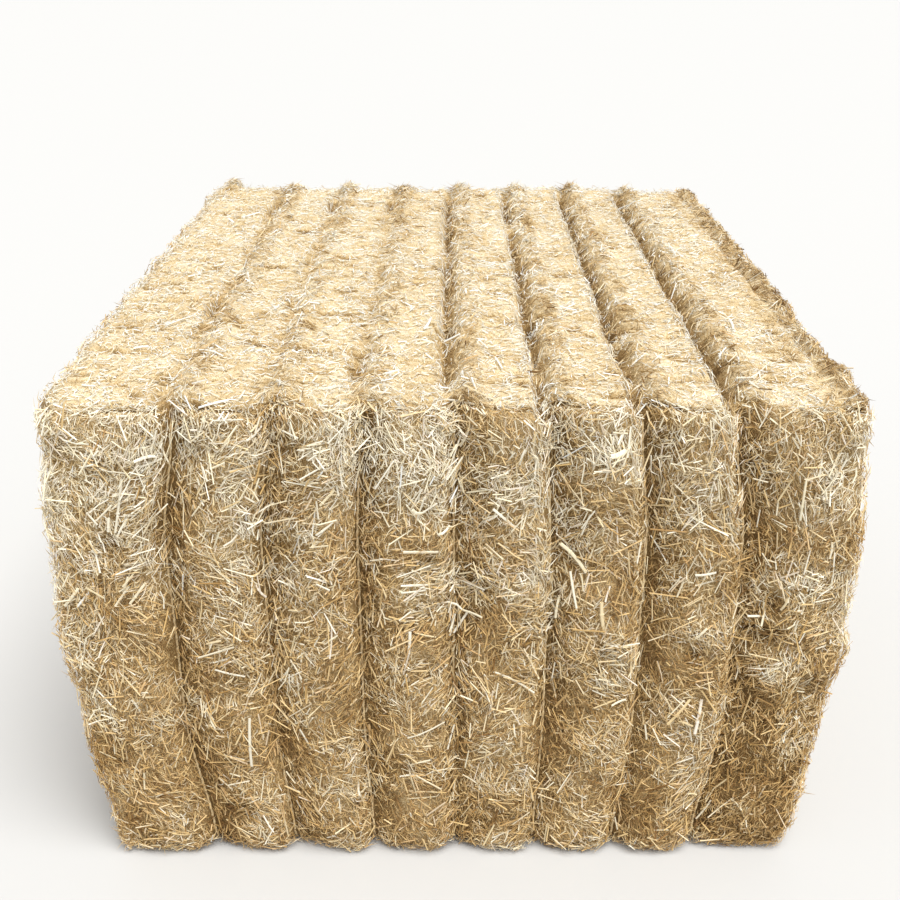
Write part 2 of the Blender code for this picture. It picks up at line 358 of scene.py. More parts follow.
def lip(p, out):
    """The broken crack along the end's top edge, under the pressed top."""
    slope = smooth(out[:, 2], 0.58, 0.66) * (1 - smooth(out[:, 2], 0.68, 0.75))
    broken = np.clip(noise(p, 0.08, 41) * 2.2 + 0.45, 0, 1)
    return 0.011 * slope * broken * smooth(np.abs(out[:, 1]), 0.3, 0.6)


def hollow(p):
    """How far the near end's hollows and ledge set the surface back."""
    x, y, z = p.T
    depth = np.zeros(len(p))
    for across, up, wide, high, deep in HOLLOWS:
        reach = ((x - plain_x(across, up)) / wide) ** 2 + ((z - up) / high) ** 2
        depth += deep * np.exp(-reach)
    edge = LEDGE_Z + 0.03 * noise(p, 0.06, 24)
    start = plain_x(LEDGE_X, LEDGE_Z)
    depth += LEDGE_DEPTH * smooth(x, start, start + 0.05) * (1 - smooth(z, edge - 0.02, edge + 0.01))
    return depth * (y < -LENGTH / 2 + 0.05)


def surface(p):
    """Points on the bale for points on the faces of a plain box of its size."""
    centre = p - MIDDLE
    core = np.clip(centre, -(HALF - EDGE_RADIUS), HALF - EDGE_RADIUS)
    out = unit(centre - core)
    q = core + MIDDLE + out * EDGE_RADIUS
    x, y, z = q.T
    narrower = wander(q)
    groove = read_curve(GROOVE_CURVE, x, narrower)
    lobe = read_curve(LOBE_CURVE, x, narrower)
    open_groove = groove * open_share(q)
    up = np.clip(z / HEIGHT, 0, 1)
    near_end = smooth(np.abs(y), LENGTH / 2 - 0.085, LENGTH / 2 - END_RADIUS)
    bulge = lumps(q, out) + fluff(q, out) - crack(q, out) - lip(q, out)
    moved = q + out * bulge[:, None]
    moved[:, 2] += BOTTOM_GROOVE * groove * (1 - up) - TOP_GROOVE * open_groove * up
    moved[:, 1] -= np.sign(y) * end_depth(z) * lobe * near_end
    moved[:, 1] += hollow(q) * (1 - lobe) * near_end
    moved[:, 0] += shift(x, z, near_end)
    return moved, out


# Each face's directions across and up, and the way it faces.
FACES = {
    "near": ((1, 0, 0), (0, 0, 1), (0, -1, 0)),
    "far": ((-1, 0, 0), (0, 0, 1), (0, 1, 0)),
    "right": ((0, 1, 0), (0, 0, 1), (1, 0, 0)),
    "left": ((0, -1, 0), (0, 0, 1), (-1, 0, 0)),
    "top": ((1, 0, 0), (0, 1, 0), (0, 0, 1)),
    "bottom": ((1, 0, 0), (0, -1, 0), (0, 0, -1)),
}
ENDS = ("near", "far")
SIDES = ("left", "right")


def as_faces(name):
    return [np.array(v, float) for v in FACES[name]]


def scatter_on(face, count, rng):
    """Random points on one face of the plain box."""
    across, up, out = as_faces(face)
    u = rng.uniform(-1, 1, (count, 1))
    v = rng.uniform(-1, 1, (count, 1))
    return MIDDLE + HALF * (out + u * across + v * up)


def on_rim(face, count, rng):
    """Random points near the edges of one face."""
    across, up, out = as_faces(face)
    u = rng.uniform(-1, 1, (count, 1))
    v = rng.choice((-1.0, 1.0), (count, 1)) * (1 - 0.06 * rng.uniform(0, 1, (count, 1)) ** 2)
    swapped = rng.uniform(0, 1, (count, 1)) < 0.5
    return MIDDLE + HALF * (out + np.where(swapped, v, u) * across + np.where(swapped, u, v) * up)


def at_twines(low, high):
    """Makes a rule for random points at these distances from the twines."""

    def rule(face, count, rng):
        p = scatter_on(face, count, rng)
        p[:, 0] = rng.choice(TWINE_X, count) + rng.uniform(low, high, count)
        return p

    return rule


def along_rim(face, count, rng):
    """Random points on the tangled band along the top's +X edge."""
    p = scatter_on(face, count, rng)
    p[:, 0] = WIDTH / 2 - RIM_WIDTH * rng.uniform(0, 1, count) ** 1.3
    return p


def at_back_tufts(face, count, rng):
    """Points where the tangle beside each twine ends in a tuft on the far top edge."""
    p = scatter_on(face, count, rng)
    places = np.append(TWINE_X + 0.014, CORNER_TUFT)
    p[:, 0] = rng.choice(places, count) + rng.normal(0, 0.008, count)
    p[:, 1] = LENGTH / 2 - 0.012 - np.abs(rng.normal(0, 0.016, count))
    return p


# Places on the near end, across and up, where paler straw stands out in clumps.
PALE_CLUMPS = (
    (-0.350, 0.815), (-0.335, 0.775), (-0.325, 0.735), (-0.318, 0.700), (-0.310, 0.655), (-0.520, 0.775),
    (-0.460, 0.790), (-0.215, 0.775), (-0.030, 0.790), (0.000, 0.760), (-0.012, 0.720), (-0.020, 0.560),
    (-0.005, 0.535), (-0.062, 0.505), (0.010, 0.470), (0.075, 0.720), (0.240, 0.788), (0.215, 0.770),
    (0.330, 0.750), (0.345, 0.690), (0.445, 0.770), (0.560, 0.735), (0.545, 0.560), (0.390, 0.470),
    (0.262, 0.440), (0.255, 0.385), (0.520, 0.400), (-0.180, 0.350), (-0.355, 0.130), (-0.410, 0.345),
    (-0.300, 0.570), (-0.550, 0.300), (0.090, 0.560), (0.115, 0.475), (-0.190, 0.560), (0.030, 0.340),
)


def at_pale_clumps(face, count, rng):
    places = np.array(PALE_CLUMPS)[rng.integers(0, len(PALE_CLUMPS), count)]
    p = scatter_on(face, count, rng)
    p[:, 0] = plain_x(places[:, 0], places[:, 1]) + rng.normal(0, 0.012, count)
    p[:, 2] = places[:, 1] + rng.normal(0, 0.016, count)
    return p


def fill(items, name, values, kind=np.float32):
    items.foreach_set(name, np.ascontiguousarray(values, dtype=kind).ravel())


def mesh_object(name, verts, triangles, uvs, material, flat=True, deep=None):
    """An object of triangles from arrays. uvs holds three map points for each triangle, or is None."""
    data = bpy.data.meshes.new(name)
    data.vertices.add(len(verts))
    fill(data.vertices, "co", verts)
    data.loops.add(len(triangles) * 3)
    fill(data.loops, "vertex_index", triangles, np.int32)
    data.polygons.add(len(triangles))
    fill(data.polygons, "loop_start", np.arange(0, len(triangles) * 3, 3), np.int32)
    if uvs is not None:
        fill(data.uv_layers.new(name=UV_MAP).uv, "vector", uvs)
    if deep is not None:
        fill(data.attributes.new(SHADE_DEPTH, "FLOAT", "POINT").data, "value", deep)
    data.update(calc_edges=True)
    data.validate()
    if flat:
        data.shade_flat()
    else:
        data.shade_smooth()
    data.materials.append(material)
    obj = bpy.data.objects.new(name, data)
    bpy.context.scene.collection.objects.link(obj)
    return obj


# A stalk is a hollow straw with a joint: the place of each ring along it, and the ring's share of width.
STALK_SIDES = 6
STALK_RINGS = (
    (0.03, 0.50), (0.0, 0.62), (0.0, 1.0), (0.30, 0.92), (0.345, 1.25),
    (0.39, 0.95), (0.70, 0.98), (1.0, 0.90), (1.0, 0.55), (0.97, 0.45),
)
# The section of a straw across and up, in shares of its width and thickness.
SECTION = ((-0.5, -0.25), (0.5, -0.25), (0.0, 0.75))


def tube_triangles(rings, n):
    """Triangles of a closed tube whose rings have n corners each, facing outwards."""
    faces = []
    for ring in range(rings - 1):
        for k in range(n):
            a, b = ring * n + k, ring * n + (k + 1) % n
            faces += [(a, b, b + n), (a, b + n, a + n)]
    last = (rings - 1) * n
    for k in range(1, n - 1):
        faces += [(0, k + 1, k), (last, last + k, last + k + 1)]
    return tuple(faces)


STRAND_TRIANGLES = {
    "sliver": ((0, 1, 2), (0, 2, 3), (0, 3, 1), (1, 3, 2)),
    "fibre": ((0, 2, 1), (0, 3, 2), (0, 1, 3), (4, 1, 2), (4, 2, 3), (4, 3, 1)),
    "straw": tube_triangles(2, len(SECTION)),
    "bent": tube_triangles(3, len(SECTION)),
    "stalk": tube_triangles(len(STALK_RINGS), STALK_SIDES),
}
# For each corner of the strand's mesh, its place along the strand from 0 to 1.
STRAND_PLACES = {
    "sliver": (0, 0, 1, 1),
    "fibre": (0, 0.5, 0.5, 0.5, 1),
    "straw": (0, 0, 0, 1, 1, 1),
    "bent": (0, 0, 0, 0.5, 0.5, 0.5, 1, 1, 1),
    "stalk": tuple(t for t, _ in STALK_RINGS for _ in range(STALK_SIDES)),
}


def strand_frames(ends, normal, roll):
    """Unit side and up vectors across each strand."""
    along = unit(ends[2] - ends[0])
    side = unit(np.cross(normal, along))
    up = np.cross(along, side)
    c, s = np.cos(roll)[:, None], np.sin(roll)[:, None]
    return side * c + up * s, up * c - side * s


def strand_points(kind, ends, side, up, width, thick):
    """The corner points of each strand, as an array (strands, corners, 3)."""
    w, t = width[:, None], thick[:, None]
    if kind == "stalk":
        points = []
        for place, share in STALK_RINGS:
            bow = 4 * place * (1 - place)
            spot = ends[0] * (1 - place) + ends[2] * place + bow * (ends[1] - (ends[0] + ends[2]) / 2)
            for k in range(STALK_SIDES):
                angle = 2 * math.pi * k / STALK_SIDES
                reach = side * (w / 2 * math.cos(angle)) + up * (t / 2 * math.sin(angle))
                points.append(spot + share * reach)
        return np.stack(points, axis=1)
    ring = [side * (a * w) + up * (b * t) for a, b in SECTION]
    if kind == "sliver":
        pair = [ends[0] - side * w * 0.5, ends[0] + side * w * 0.5]
        return np.stack(pair + [ends[2] - up * t * 0.4, ends[2] + up * t * 0.5 + side * w * 0.15], axis=1)
    if kind == "fibre":
        return np.stack([ends[0]] + [ends[1] + r for r in ring] + [ends[2]], axis=1)
    rings = (0, 2) if kind == "straw" else (0, 1, 2)
    return np.stack([ends[i] + r for i in rings for r in ring], axis=1)


# The straw's colour map: tint across it, and the place along a straw up it, in a row for each hue.
MAP_WIDTH = 0.012
MAP_ROWS = 4
MAP_LENGTH = 0.45
TINT_LOW, TINT_HIGH = 0.01, 0.975
# The shares of the four hues among the strands on top, and among all others.
TOP_HUES = (0.80, 0.12, 0.04, 0.04)
OTHER_HUES = (0.01, 0.55, 0.12, 0.32)


def strand_uvs(kind, tint, row, length, rng):
    """Each strand's place in the colour map."""
    count = len(tint)
    places = np.array(STRAND_PLACES[kind])
    triangles = np.array(STRAND_TRIANGLES[kind])
    room = 1.0 / MAP_ROWS
    reach = np.minimum(length / MAP_LENGTH, 0.8) * room
    start = row * room + 0.02 * room + rng.uniform(0, 1, count) * (room * 0.96 - reach)
    left = TINT_LOW + np.clip(tint, 0, 1) * (TINT_HIGH - TINT_LOW)
    v = start[:, None, None] + reach[:, None, None] * places[triangles][None]
    flat = places[triangles].min(axis=1) == places[triangles].max(axis=1)
    v = v + (flat[:, None] * np.array([0.0, 0.0, 0.006])[None])[None]
    corner = np.array([0.0, 1.0, 0.5])
    u = left[:, None, None] + MAP_WIDTH * corner[None, None, :] * np.ones((1, len(triangles), 1))
    return np.stack([u, np.clip(v, 0.001, 0.999)], axis=3)


@dataclass
class Layer:
    """One layer of strands: its face, how many, and the ranges of their lengths, widths and heights."""

    face: str
    kind: str
    count: int
    length: tuple
    size: tuple
    height: tuple
    tint: float
    tilt: float = 0.12
    bow: float = 0.0
    spread: float = 0.15
    clump: int = 1
    where: object = scatter_on
    over_twine: float = 0.15


@dataclass
class Strands:
    """Strands of one kind, each through three points."""

    kind: str
    ends: list
    normal: np.ndarray
    width: np.ndarray
    thick: np.ndarray
    roll: np.ndarray
    tint: np.ndarray
    row: np.ndarray
    flake: np.ndarray

    def chosen(self, mask):
        parts = (self.normal, self.width, self.thick, self.roll, self.tint, self.row, self.flake)
        return Strands(self.kind, [end[mask] for end in self.ends], *(part[mask] for part in parts))


# Strands in a clump differ by these, and a random share of all strands is darker, as painted shade of the
# gaps between strands.
CLUMP_REACH = 0.010
CLUMP_FAN = 0.38
CLUMP_SHADE = 0.08
GAP_SHADE_SHARE = 0.13
GAP_SHADE = 0.35

# How low and high strands may reach, how many stick out past an edge, how far they lean and are
# pulled straight, and how clear of cracks and twines most of them stay.
FLOOR_CLEAR = 0.0006
TOP_LIMIT = HEIGHT + 0.034
OVERSHOOTING = 0.3
MOST_LEAN = 1.1
MOST_STRAIGHTENING = 0.006
CRACK_CLEAR = 0.0045
TWINE_CLEAR = 0.0045


def heading(face, p, rng):
    """Each strand's direction on its face, in radians from across."""
    x, count = p[:, 0], len(p)
    if face in ENDS:
        valley = np.clip(read_curve(LOBE_CURVE, x, wander(p)) * 0.75, 0, 0.6)
        valley = np.maximum(valley, 0.8 * (1 - smooth(np.abs(from_twine(x)), 0.006, 0.030)))
        free = math.pi * (0.5 + 0.45 * noise(p, 0.050, 61)) + rng.normal(0, 0.70, count)
        upright = math.pi / 2 + rng.normal(0, 0.45, count)
        return np.where(rng.uniform(0, 1, count) < valley, upright, free)
    if face in SIDES:
        return math.pi / 2 + 1.3 * noise(p, 0.09, 63) + rng.normal(0, 0.85, count)
    distance, index = past_twine(x)
    tangle = ((distance < 0.044) & (index >= 0)) | (x > RIM_START)
    tangled = np.where(tangle, 1.0, 0.60 + 0.30 * (1 - smooth(x, -0.20, 0.10)))
    across = 1.3 * noise(p, 0.045, 62) + rng.normal(0, 0.85, count)
    angle = np.where(rng.uniform(0, 1, count) < tangled, rng.uniform(0, math.pi, count), across)
    in_slot = ((distance < 0.017) & (index >= 0)) | ((distance > 0.115) & (index < TWINES - 1))
    along = math.pi / 2 + rng.normal(0, 0.6, count)
    return np.where(in_slot & (open_share(p) > 0.5), along, angle)


def shade_at(face, p):
    """How much paler or darker the straw is at points on a face: random patches, with painted light and
    shade.
    """
    x, _, z = p.T
    patches = 0.55 * noise(p, 0.080, 71) + 0.45 * noise(p, 0.030, 72)
    if face in ENDS:
        valley = read_curve(LOBE_CURVE, x, wander(p))
        upper = smooth(z, 0.45, 0.70)
        # Painted light and shade: paler towards the top edge and darker towards the bottom, as if lit from
        # above; paler towards -X in the upper part; darker in the valleys and in the hollows.
        height = 0.31 * smooth(z, 0.46, 0.84) - 0.05 * (1 - smooth(z, 0.05, 0.45))
        height -= 0.15 * x * upper
        return 0.38 * patches + height - 0.01 - (0.11 + 0.07 * upper) * valley - 3.5 * hollow(p)
    if face == "top":
        distance, index = past_twine(x)
        # Painted shade: darker, spotted bands beside each twine and along the +X edge, and darker strands
        # in the nicks.
        band = (1 - smooth(distance, 0.034, 0.050)) * (index >= 0)
        band = np.maximum(band, smooth(distance, 0.118, 0.130))
        rim = smooth(x, RIM_START - 0.006, RIM_START + 0.008)
        spots = smooth(noise(p, 0.024, 73), -0.1, 0.5)
        painted_band_shade = np.maximum((0.06 + 0.38 * spots) * band, (0.15 + 0.24 * spots) * rim)
        return 0.12 * patches - painted_band_shade - 0.12 * rim - 0.42 * nicks(p)
    return 0.24 * patches


def middles(layer, rng):
    """Middles, directions and extra tints of a layer's strands, in clumps where the layer asks for them."""
    groups = layer.count // layer.clump
    mid = layer.where(layer.face, groups, rng)
    angle = heading(layer.face, mid, rng)
    extra = np.zeros(groups)
    if layer.clump > 1:
        across, up, _ = as_faces(layer.face)
        count = groups * layer.clump
        mid = np.repeat(mid, layer.clump, axis=0)
        mid = mid + across * rng.normal(0, CLUMP_REACH, (count, 1))
        mid = within(mid + up * rng.normal(0, CLUMP_REACH, (count, 1)))
        angle = np.repeat(angle, layer.clump) + rng.normal(0, CLUMP_FAN, count)
        extra = np.repeat(rng.normal(0, CLUMP_SHADE, groups), layer.clump)
    return mid, angle, extra


def facing_at(mid, spot, rough, face):
    """The direction that the bumpy surface truly faces at each middle."""
    across, up, _ = as_faces(face)
    nudge = 0.003
    beside = surface(within(mid + across * nudge))[0]
    above = surface(within(mid + up * nudge))[0]
    slope = np.cross(beside - spot, above - spot)
    norm = np.linalg.norm(slope, axis=1, keepdims=True)
    true = np.where(norm > 1e-8, slope / np.maximum(norm, 1e-9), rough)
    true[(true * rough).sum(axis=1) < 0] *= -1
    return true


def lay(layer, rng):
    """Lays a layer's strands over its face of the bale."""
    across, up, _ = as_faces(layer.face)
    mid, angle, extra = middles(layer, rng)
    count = len(mid)
    size = rng.uniform(*layer.length, count) * rng.uniform(0.7, 1.3, count)
    step = (np.cos(angle)[:, None] * across + np.sin(angle)[:, None] * up) * (size / 2)[:, None]
    ends, rough, lips = [], None, None
    for sign in (-1, 0, 1):
        p = mid + sign * step
        inside = within(p)
        spot, facing = surface(inside)
        overshoot = (rng.uniform(0, 1, count) < OVERSHOOTING) * rng.uniform(0.2, 0.8, count)
        ends.append(spot + (p - inside) * overshoot[:, None])
        if sign == 0:
            rough, lips = facing, lip(inside, facing)
    normal = facing_at(mid, ends[1], rough, layer.face)
    lift = rng.uniform(*layer.height, count)[:, None] * normal
    tilt = np.clip(rng.normal(0, layer.tilt, count), -MOST_LEAN, MOST_LEAN)
    lean = (np.sin(tilt) * size / 2)[:, None] * normal
    ends[0] = ends[0] + lift - lean
    ends[2] = ends[2] + lift + lean
    if layer.kind in ("straw", "sliver"):
        chord = (ends[0] + ends[2]) / 2
        back = ((ends[1] + lift - chord) * normal).sum(axis=1)
        back = np.clip(back, 0, MOST_STRAIGHTENING)[:, None]
        ends[0] = ends[0] + back * normal
        ends[2] = ends[2] + back * normal
        ends[1] = (ends[0] + ends[2]) / 2
    else:
        sideways = np.cross(normal, unit(step))
        ends[1] = ends[1] + lift + sideways * (rng.normal(0, 1, count) * layer.bow * size)[:, None]
    # Each strand's tint: the layer's, the clump's random tone, the painted light and shade of shade_at,
    # random spread, and a random share darkened as painted shade of the gaps between strands.
    tint = layer.tint + extra + shade_at(layer.face, mid) + rng.normal(0, layer.spread, count)
    tint -= GAP_SHADE * (rng.uniform(0, 1, count) < GAP_SHADE_SHARE)
    hues = TOP_HUES if layer.face == "top" else OTHER_HUES
    width, thick = (rng.uniform(*bounds, count) for bounds in layer.size)
    roll = rng.normal(0, 0.5, count)
    row = rng.choice(MAP_ROWS, count, p=hues)
    strands = Strands(layer.kind, ends, normal, width, thick, roll, tint, row, flake_at(ends[1][:, 1]))
    return strands.chosen(kept(layer, mid, (mid - step, mid + step), lips, rng))


def kept(layer, mid, tips, lips, rng):
    """Which strands to keep: most of those that would hide a twine or bridge a crack go."""
    chance = rng.uniform(0, 1, len(mid))
    number = nearest_boundary(mid)
    line = boundary(number, mid[:, 0], mid[:, 2])
    bridges = (tips[0][:, 1] - line) * (tips[1][:, 1] - line) < 0
    gap = np.clip(opening(number, mid), 0, 0.92)
    inside = np.abs(mid[:, 1] - line) < CRACK_CLEAR
    if layer.face == "top":
        gap = np.maximum(gap, 0.8 * nicks(mid))
        inside |= nicks(mid) > 0.6
    keep = ~(bridges | inside) | (chance > gap)
    keep &= (lips < 0.005) | (chance > 0.5)
    if layer.face in SIDES:
        return keep
    a, b = from_twine(tips[0][:, 0]), from_twine(tips[1][:, 0])
    crosses = (a * b < 0) & (np.abs(a - b) < TWINE_PITCH * 0.6)
    if layer.face in ENDS:
        crosses |= np.minimum(np.abs(a), np.abs(b)) < TWINE_CLEAR
        crosses |= np.abs(from_twine(mid[:, 0]) - 0.001) < TWINE_CLEAR + 0.001
    covered = noise(mid, 0.14, 51) > 0.25
    if layer.face == "top":
        covered = open_share(mid) < 0.5
    return keep & (~crosses | (chance < np.where(covered, layer.over_twine * 6, layer.over_twine)))


# Single straws on the near end: place across and up, lean in degrees, length, width and tint.
SINGLE_STRAWS = (
    (-0.592, 0.540, 44, 0.048, 0.0050, 0.93), (-0.575, 0.536, 40, 0.036, 0.0038, 0.85),
    (-0.490, 0.545, 55, 0.046, 0.0044, 0.88), (-0.515, 0.540, 55, 0.040, 0.0040, 0.80),
    (-0.500, 0.700, 89, 0.090, 0.0040, 0.88), (-0.452, 0.778, 15, 0.030, 0.0048, 0.98),
    (-0.052, 0.690, -38, 0.022, 0.0055, 1.00), (-0.060, 0.560, 0, 0.040, 0.0036, 0.97),
    (-0.062, 0.549, 8, 0.036, 0.0034, 0.93), (-0.050, 0.620, 2, 0.050, 0.0050, 0.80),
    (-0.070, 0.455, 86, 0.044, 0.0050, 0.99), (-0.006, 0.512, -25, 0.040, 0.0034, 0.93),
    (-0.002, 0.468, 78, 0.038, 0.0046, 0.98), (0.012, 0.470, 62, 0.046, 0.0044, 0.98),
    (0.030, 0.492, -3, 0.028, 0.0044, 0.97), (0.076, 0.675, -48, 0.046, 0.0042, 0.95),
    (0.155, 0.510, -68, 0.040, 0.0040, 0.95), (0.165, 0.505, 84, 0.042, 0.0044, 0.97),
    (0.185, 0.600, -52, 0.062, 0.0060, 0.85), (0.187, 0.545, -80, 0.060, 0.0036, 0.90),
    (0.403, 0.305, 84, 0.062, 0.0056, 0.93), (0.370, 0.315, 58, 0.058, 0.0056, 0.62),
    (0.390, 0.470, 60, 0.030, 0.0044, 0.97), (0.490, 0.495, 88, 0.040, 0.0036, 0.95),
    (0.478, 0.490, 0, 0.020, 0.0038, 0.97), (0.240, 0.788, 20, 0.024, 0.0085, 1.00),
    (-0.338, 0.255, 84, 0.105, 0.0050, 0.88), (-0.360, 0.395, -15, 0.048, 0.0034, 0.93),
    (-0.350, 0.420, 27, 0.052, 0.0030, 0.90), (-0.400, 0.305, -72, 0.042, 0.0034, 0.93),
    (-0.160, 0.145, 88, 0.026, 0.0036, 1.00), (-0.195, 0.455, 86, 0.060, 0.0028, 0.93),
    (0.098, 0.375, -28, 0.070, 0.0040, 0.87), (-0.075, 0.180, 8, 0.030, 0.0032, 1.00),
    (-0.045, 0.280, 28, 0.065, 0.0032, 0.85), (-0.004, 0.250, 78, 0.050, 0.0032, 0.90),
    (0.270, 0.335, 25, 0.024, 0.0044, 1.00), (0.235, 0.500, -82, 0.060, 0.0060, 0.72),
    (0.520, 0.710, 78, 0.075, 0.0036, 0.88), (0.388, 0.580, 10, 0.030, 0.0040, 0.97),
)


def single_straws(rng):
    """The straws that stand out most on the near end, each at its own place."""
    count = len(SINGLE_STRAWS)
    x, z, lean_angle, length, width, tint = np.array(SINGLE_STRAWS).T
    mid = np.stack([plain_x(x, z), np.full(count, -LENGTH / 2), z], axis=1)
    angle = np.radians(lean_angle)
    step = np.stack([np.cos(angle), np.zeros(count), np.sin(angle)], axis=1) * length[:, None] / 2
    ends = [surface(mid + sign * step)[0] for sign in (-1, 0, 1)]
    normal = np.tile(np.array([0.0, -1.0, 0.0]), (count, 1))
    nearest = np.minimum(ends[0][:, 1], np.minimum(ends[1][:, 1], ends[2][:, 1]))
    lift = rng.uniform(0.004, 0.008, count)
    lean = rng.normal(0, 0.003, count)
    for i, sign in enumerate((-1, 0, 1)):
        ends[i][:, 1] = nearest * 0.6 + ends[i][:, 1] * 0.4 - lift + sign * lean
    ends[1] = ends[1] + np.stack([rng.normal(0, 0.0012, count)] * 3, axis=1)
    row = rng.choice(MAP_ROWS, count, p=OTHER_HUES)
    roll = rng.normal(0, 0.2, count)
    return Strands("stalk", ends, normal, width, width * 0.6, roll, tint, row, np.zeros(count, int))


# The ranges of the strands' widths and thicknesses.
HAIR = (0.0009, 0.0016), (0.0008, 0.0013)
THIN_HAIR = (0.0008, 0.0014), (0.0007, 0.0012)
FINE = (0.0010, 0.0022), (0.0007, 0.0013)
THIN = (0.0009, 0.0019), (0.0006, 0.0012)
STOUT = (0.0016, 0.0028), (0.0010, 0.0018)
BROAD = (0.0026, 0.0044), (0.0014, 0.0026)
FLAKY = (0.0015, 0.0030), (0.0008, 0.0015)
PRESSED = (0.0018, 0.0032), (0.0006, 0.0010)
PRESSED_STOUT = (0.0018, 0.0036), (0.0008, 0.0012)


def end_layers(face, share):
    """The strands of one end: flush chaff, then fibres and straws over it, and clumps that stand out."""
    short, middling, long = (0.009, 0.020), (0.012, 0.030), (0.022, 0.048)
    beside, close = at_twines(-0.030, -0.006), at_twines(-0.024, -0.005)
    # Lower layers get darker tints than those lying over them: partly dust, partly painted shade under the
    # strands above.
    layers = [
        Layer(face, "sliver", 31500, short, THIN, (-0.001, 0.004), 0.46, tilt=0.20),
        Layer(face, "fibre", 19200, middling, THIN_HAIR, (0.001, 0.009), 0.58, tilt=0.24, bow=0.17),
        Layer(face, "sliver", 9000, short, THIN, (0.002, 0.010), 0.66, tilt=0.28, clump=12),
        Layer(face, "straw", 3300, short, STOUT, (0.001, 0.008), 0.62, tilt=0.20),
        Layer(face, "straw", 1800, long, STOUT, (0.002, 0.010), 0.66, tilt=0.16),
        Layer(face, "fibre", 1500, middling, HAIR, (0.003, 0.010), 0.55, tilt=0.45, bow=0.2, where=on_rim),
        Layer(face, "fibre", 1400, (0.02, 0.05), HAIR, (0.003, 0.012), 0.68, tilt=0.28, bow=0.12, clump=14,
              where=beside, over_twine=0.5),
        Layer(face, "sliver", 3400, short, FINE, (0.000, 0.005), 0.55, tilt=0.16, where=close),
        Layer(face, "bent", 380, long, STOUT, (0.003, 0.009), 0.72, bow=0.05),
        Layer(face, "stalk", 60, long, BROAD, (0.004, 0.009), 0.78, bow=0.02),
    ]
    for layer in layers:
        layer.count = round(layer.count * share / layer.clump) * layer.clump
    return layers


def near_clumps():
    """The pale clumps of the near end."""
    proud = (0.004, 0.012)
    loose = dict(tilt=0.35, where=at_pale_clumps, over_twine=0.6)
    return [
        Layer("near", "fibre", 1200, (0.014, 0.034), HAIR, proud, 0.72, bow=0.10, clump=15, **loose),
        Layer("near", "straw", 360, (0.012, 0.028), STOUT, proud, 0.80, clump=6, **loose),
    ]


def top_layers():
    """The pressed top: fine flush chaff, and a raised tangle beside each twine and along the +X edge."""
    short, middling, long, stout = (0.007, 0.016), (0.010, 0.024), (0.010, 0.026), (0.012, 0.026)
    raised, edge = (0.001, 0.008), (0.000, 0.007)
    flush = dict(tilt=0.16, spread=0.16, over_twine=0.12)
    tangled = dict(tilt=0.38, spread=0.20)
    fringe = dict(tilt=0.45, bow=0.16, spread=0.18)
    beside, close, slot_edge = at_twines(-0.003, 0.042), at_twines(0.000, 0.040), at_twines(-0.031, -0.018)
    return [
        Layer("top", "sliver", 27000, short, FINE, (-0.001, 0.0020), 0.82, **flush),
        Layer("top", "fibre", 12500, middling, HAIR, (0.0, 0.0034), 0.85, bow=0.18, **flush),
        Layer("top", "straw", 1300, middling, STOUT, (0.0, 0.0024), 0.86, tilt=0.05, over_twine=0.04),
        Layer("top", "fibre", 8000, (0.008, 0.022), HAIR, raised, 0.81, bow=0.16, where=beside,
              over_twine=0.9, **tangled),
        Layer("top", "fibre", 2200, (0.008, 0.020), HAIR, (0.000, 0.005), 0.82, where=slot_edge,
              over_twine=0.5, **fringe),
        Layer("top", "straw", 1000, stout, STOUT, raised, 0.83, where=close, over_twine=0.8, **tangled),
        Layer("top", "fibre", 3000, long, HAIR, edge, 0.80, where=along_rim, **fringe),
        Layer("top", "straw", 500, stout, STOUT, edge, 0.82, tilt=0.40, spread=0.18, where=along_rim),
        Layer("top", "fibre", 1900, middling, HAIR, (0.001, 0.009), 0.70, tilt=0.50, bow=0.18,
              where=on_rim),
        Layer("top", "fibre", 700, (0.02, 0.042), HAIR, (0.000, 0.010), 0.66, tilt=0.9, bow=0.15,
              where=at_back_tufts, over_twine=0.5),
        Layer("top", "stalk", 40, (0.03, 0.06), BROAD, (0.002, 0.004), 0.85, tilt=0.05, bow=0.02),
    ]


def side_layers(face):
    """The cut edges of the flakes, brushed smooth, with a few loose straws."""
    short, middling = (0.014, 0.034), (0.018, 0.048)
    # Lower layers get darker tints than those lying over them: partly dust, partly painted shade under the
    # strands above.
    return [
        Layer(face, "sliver", 5000, short, FLAKY, (-0.001, 0.003), 0.43, tilt=0.10),
        Layer(face, "fibre", 3000, middling, HAIR, (0.001, 0.008), 0.54, tilt=0.18, bow=0.16),
        Layer(face, "straw", 800, middling, STOUT, (0.001, 0.006), 0.60),
        Layer(face, "stalk", 30, (0.03, 0.07), BROAD, (0.003, 0.007), 0.80, bow=0.02),
    ]


def bottom_layers():
    """Straws pressed flat by the bale's weight."""
    return [
        Layer("bottom", "sliver", 2400, (0.016, 0.034), PRESSED, (-0.001, 0.0005), 0.42, tilt=0.02),
        Layer("bottom", "straw", 600, (0.018, 0.044), PRESSED_STOUT, (0.0, 0.0005), 0.52, tilt=0.02),
    ]


def lay_straws(rng):
    """All strands of the bale."""
    layers = end_layers("near", 1.0) + near_clumps() + end_layers("far", 0.235) + top_layers()
    layers += side_layers("left") + side_layers("right") + bottom_layers()
    return [lay(layer, rng) for layer in layers] + [single_straws(rng)]


def joined(name, parts, material):
    """One mesh of several parts, each given by its points, triangles and map places."""
    verts, triangles, uvs, offset = [], [], [], 0
    for points, faces, places in parts:
        verts.append(points)
        triangles.append(faces + offset)
        uvs.append(places)
        offset += len(points)
    verts, triangles, uvs = (np.concatenate(arrays) for arrays in (verts, triangles, uvs))
    return mesh_object(name, verts, triangles, uvs, material)


